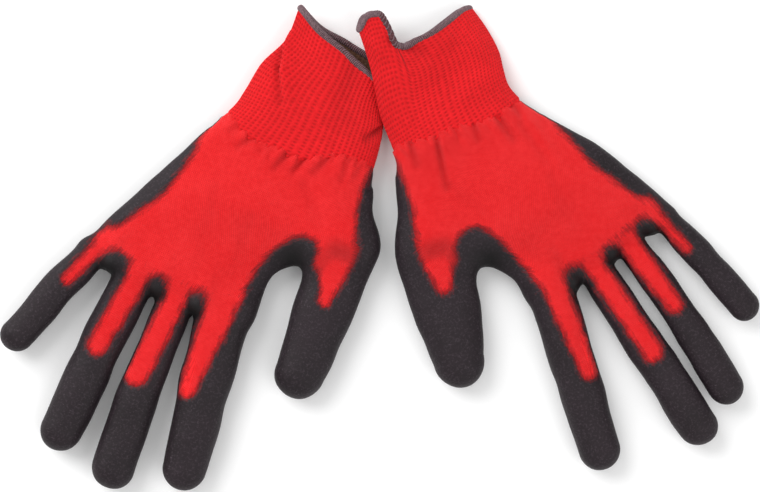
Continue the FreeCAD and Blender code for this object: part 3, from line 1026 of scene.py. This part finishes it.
def hem_frame(glove, a):
    """Middle of the hem all round, with its outward and forward directions."""
    end = np.full(len(a), cuff_stations(glove)[-1][0])
    middle = cuff_point(glove, end, a, -0.5 * CUFF_WALL, 0.7 - 0.5 * HEM_WIDTH)
    rim = cuff_point(glove, end, a, 0.0)
    tangent = unit(cuff_point(glove, end, a + 0.01, 0.0) - cuff_point(glove, end, a - 0.01, 0.0))
    out = cuff_point(glove, end, a, 1.0) - rim
    out = unit(out - (out * tangent).sum(1)[:, None] * tangent)
    ahead = cuff_point(glove, end, a, 0.0, 1.0) - rim
    forward = np.cross(out, tangent)
    forward *= np.sign((forward * ahead).sum(1))[:, None]
    return middle, out, forward


def build_hem(glove):
    """Overlocked edge: a soft band closed over the end, whipped with thread."""
    side = glove.side
    around, ring = HEM_STEPS
    turn = np.arange(around) / around * 2.0 * math.pi
    loop = np.arange(ring) / ring * 2.0 * math.pi
    a, l = np.repeat(turn, ring), np.tile(loop, around)
    middle, out, forward = hem_frame(glove, a)
    across, ahead = HEM_CORE_DEPTH * np.sin(l), 0.5 * HEM_WIDTH * np.cos(l)
    points = middle + out * across[:, None] + forward * ahead[:, None]
    points[:, 2] = np.maximum(points[:, 2], 0.05)
    faces = ring_faces(around, ring)
    if not glove.turned:
        faces = faces[:, ::-1]
    core = add_mesh(side + "_hem_core", glove.world(points), faces, HEM_CORE)
    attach(core, side + "_cuff")
    steps = THREAD_TURNS * THREAD_STEPS
    a = np.arange(steps) / steps * 2.0 * math.pi
    l = a * THREAD_TURNS
    middle, out, forward = hem_frame(glove, a + THREAD_LEAN * np.sin(l))
    across, ahead = THREAD_DEPTH * np.sin(l), 0.5 * HEM_WIDTH * np.cos(l)
    centre = middle + out * across[:, None] + forward * ahead[:, None]
    run = unit(np.roll(centre, -1, axis=0) - np.roll(centre, 1, axis=0))
    away = centre - middle
    away = unit(away - (away * run).sum(1)[:, None] * run)
    other = np.cross(run, away)
    points = []
    for k in range(THREAD_SIDES):
        angle = 2.0 * math.pi * k / THREAD_SIDES
        high, wide = THREAD_HALF[0] * math.cos(angle), THREAD_HALF[1] * math.sin(angle)
        points.append(centre + high * away + wide * other)
    points = np.stack(points, 1).reshape(-1, 3)
    points[:, 2] = np.maximum(points[:, 2], 0.03)
    faces = ring_faces(steps, THREAD_SIDES)
    thread = add_mesh(side + "_hem_thread", glove.world(points), faces, HEM)
    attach(thread, side + "_cuff")
    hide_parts(side + "_cuff_hem")


for side in ("right", "left"):
    glove = Glove(side)
    build_skin(glove)
    build_cuff(glove)


# ---- floor, light and camera ----

FLOOR_HALF = 4.0      # these are in metres
WORLD_LIGHT = 0.74


def area(name, place, size, power):
    """Round soft light that shines on the middle of the gloves."""
    light = bpy.data.lights.new(name, "AREA")
    light.shape = "DISK"
    light.size = size
    light.energy = power
    obj = bpy.data.objects.new(name, light)
    obj.location = place
    obj.rotation_euler = (-Vector(place)).to_track_quat("-Z", "Y").to_euler()
    bpy.context.scene.collection.objects.link(obj)


def floor_material():
    n = Nodes("pale_floor")
    place = n.add("ShaderNodeTexCoord").outputs["Object"]
    tone = n.noise(place, 3.0, 2.0)
    shades = ((value, value, value, 1.0) for value in (0.96, 0.99))
    n.link(n.mix(tone, *shades), n.shader.inputs["Base Color"])
    n.shader.inputs["Roughness"].default_value = 0.9
    return n.material


def keep_below(floor, collection):
    """Keeps the floor under the lowest point of the gloves when digits curl down past it."""
    tree = bpy.data.node_groups.new("floor_below_gloves", "GeometryNodeTree")
    for way in ("INPUT", "OUTPUT"):
        tree.interface.new_socket("Geometry", in_out=way, socket_type="NodeSocketGeometry")
    kinds = (
        "NodeGroupInput", "NodeGroupOutput", "GeometryNodeCollectionInfo",
        "GeometryNodeRealizeInstances", "GeometryNodeBoundBox", "ShaderNodeSeparateXYZ",
        "ShaderNodeMath", "ShaderNodeCombineXYZ", "GeometryNodeSetPosition",
    )
    nodes = [tree.nodes.new(kind) for kind in kinds]
    start, end, info, real, box, split, lower, drop, shift = nodes
    info.transform_space = "RELATIVE"
    info.inputs["Collection"].default_value = collection
    lower.operation = "MINIMUM"
    lower.inputs[1].default_value = 0.0
    for a, b in (
        (info.outputs[0], real.inputs[0]), (real.outputs[0], box.inputs[0]),
        (box.outputs["Min"], split.inputs[0]), (split.outputs["Z"], lower.inputs[0]),
        (lower.outputs[0], drop.inputs["Z"]), (start.outputs[0], shift.inputs["Geometry"]),
        (drop.outputs[0], shift.inputs["Offset"]), (shift.outputs[0], end.inputs[0]),
    ):
        tree.links.new(a, b)
    floor.modifiers.new("below_gloves", "NODES").node_group = tree


corners = [(x * FLOOR_HALF, y * FLOOR_HALF, 0.0) for x, y in ((-1, -1), (1, -1), (1, 1), (-1, 1))]
mesh = bpy.data.meshes.new("floor")
mesh.from_pydata(corners, [], [(0, 1, 2, 3)])
floor = bpy.data.objects.new("floor", mesh)
floor.data.materials.append(floor_material())
bpy.context.scene.collection.objects.link(floor)
keep_below(floor, GLOVES)

area("key", place=(-1.0, 1.0, 1.15), size=1.6, power=25.0)
area("fill", place=(0.9, -0.7, 1.3), size=1.4, power=7.0)
world = bpy.data.worlds.new("studio")
world.use_nodes = True
world.node_tree.nodes["Background"].inputs["Color"].default_value = (1.0, 1.0, 1.0, 1.0)
world.node_tree.nodes["Background"].inputs["Strength"].default_value = WORLD_LIGHT
bpy.context.scene.world = world

# the camera is not turned: it looks straight down
camera = bpy.data.cameras.new("camera")
camera.sensor_width = 36.0
camera.lens = 112.0
view = bpy.data.objects.new("camera", camera)
view.location = (0.0, 0.0005, 1.195)
bpy.context.scene.collection.objects.link(view)
bpy.context.scene.camera = view
bpy.context.scene.view_settings.view_transform = "Standard"
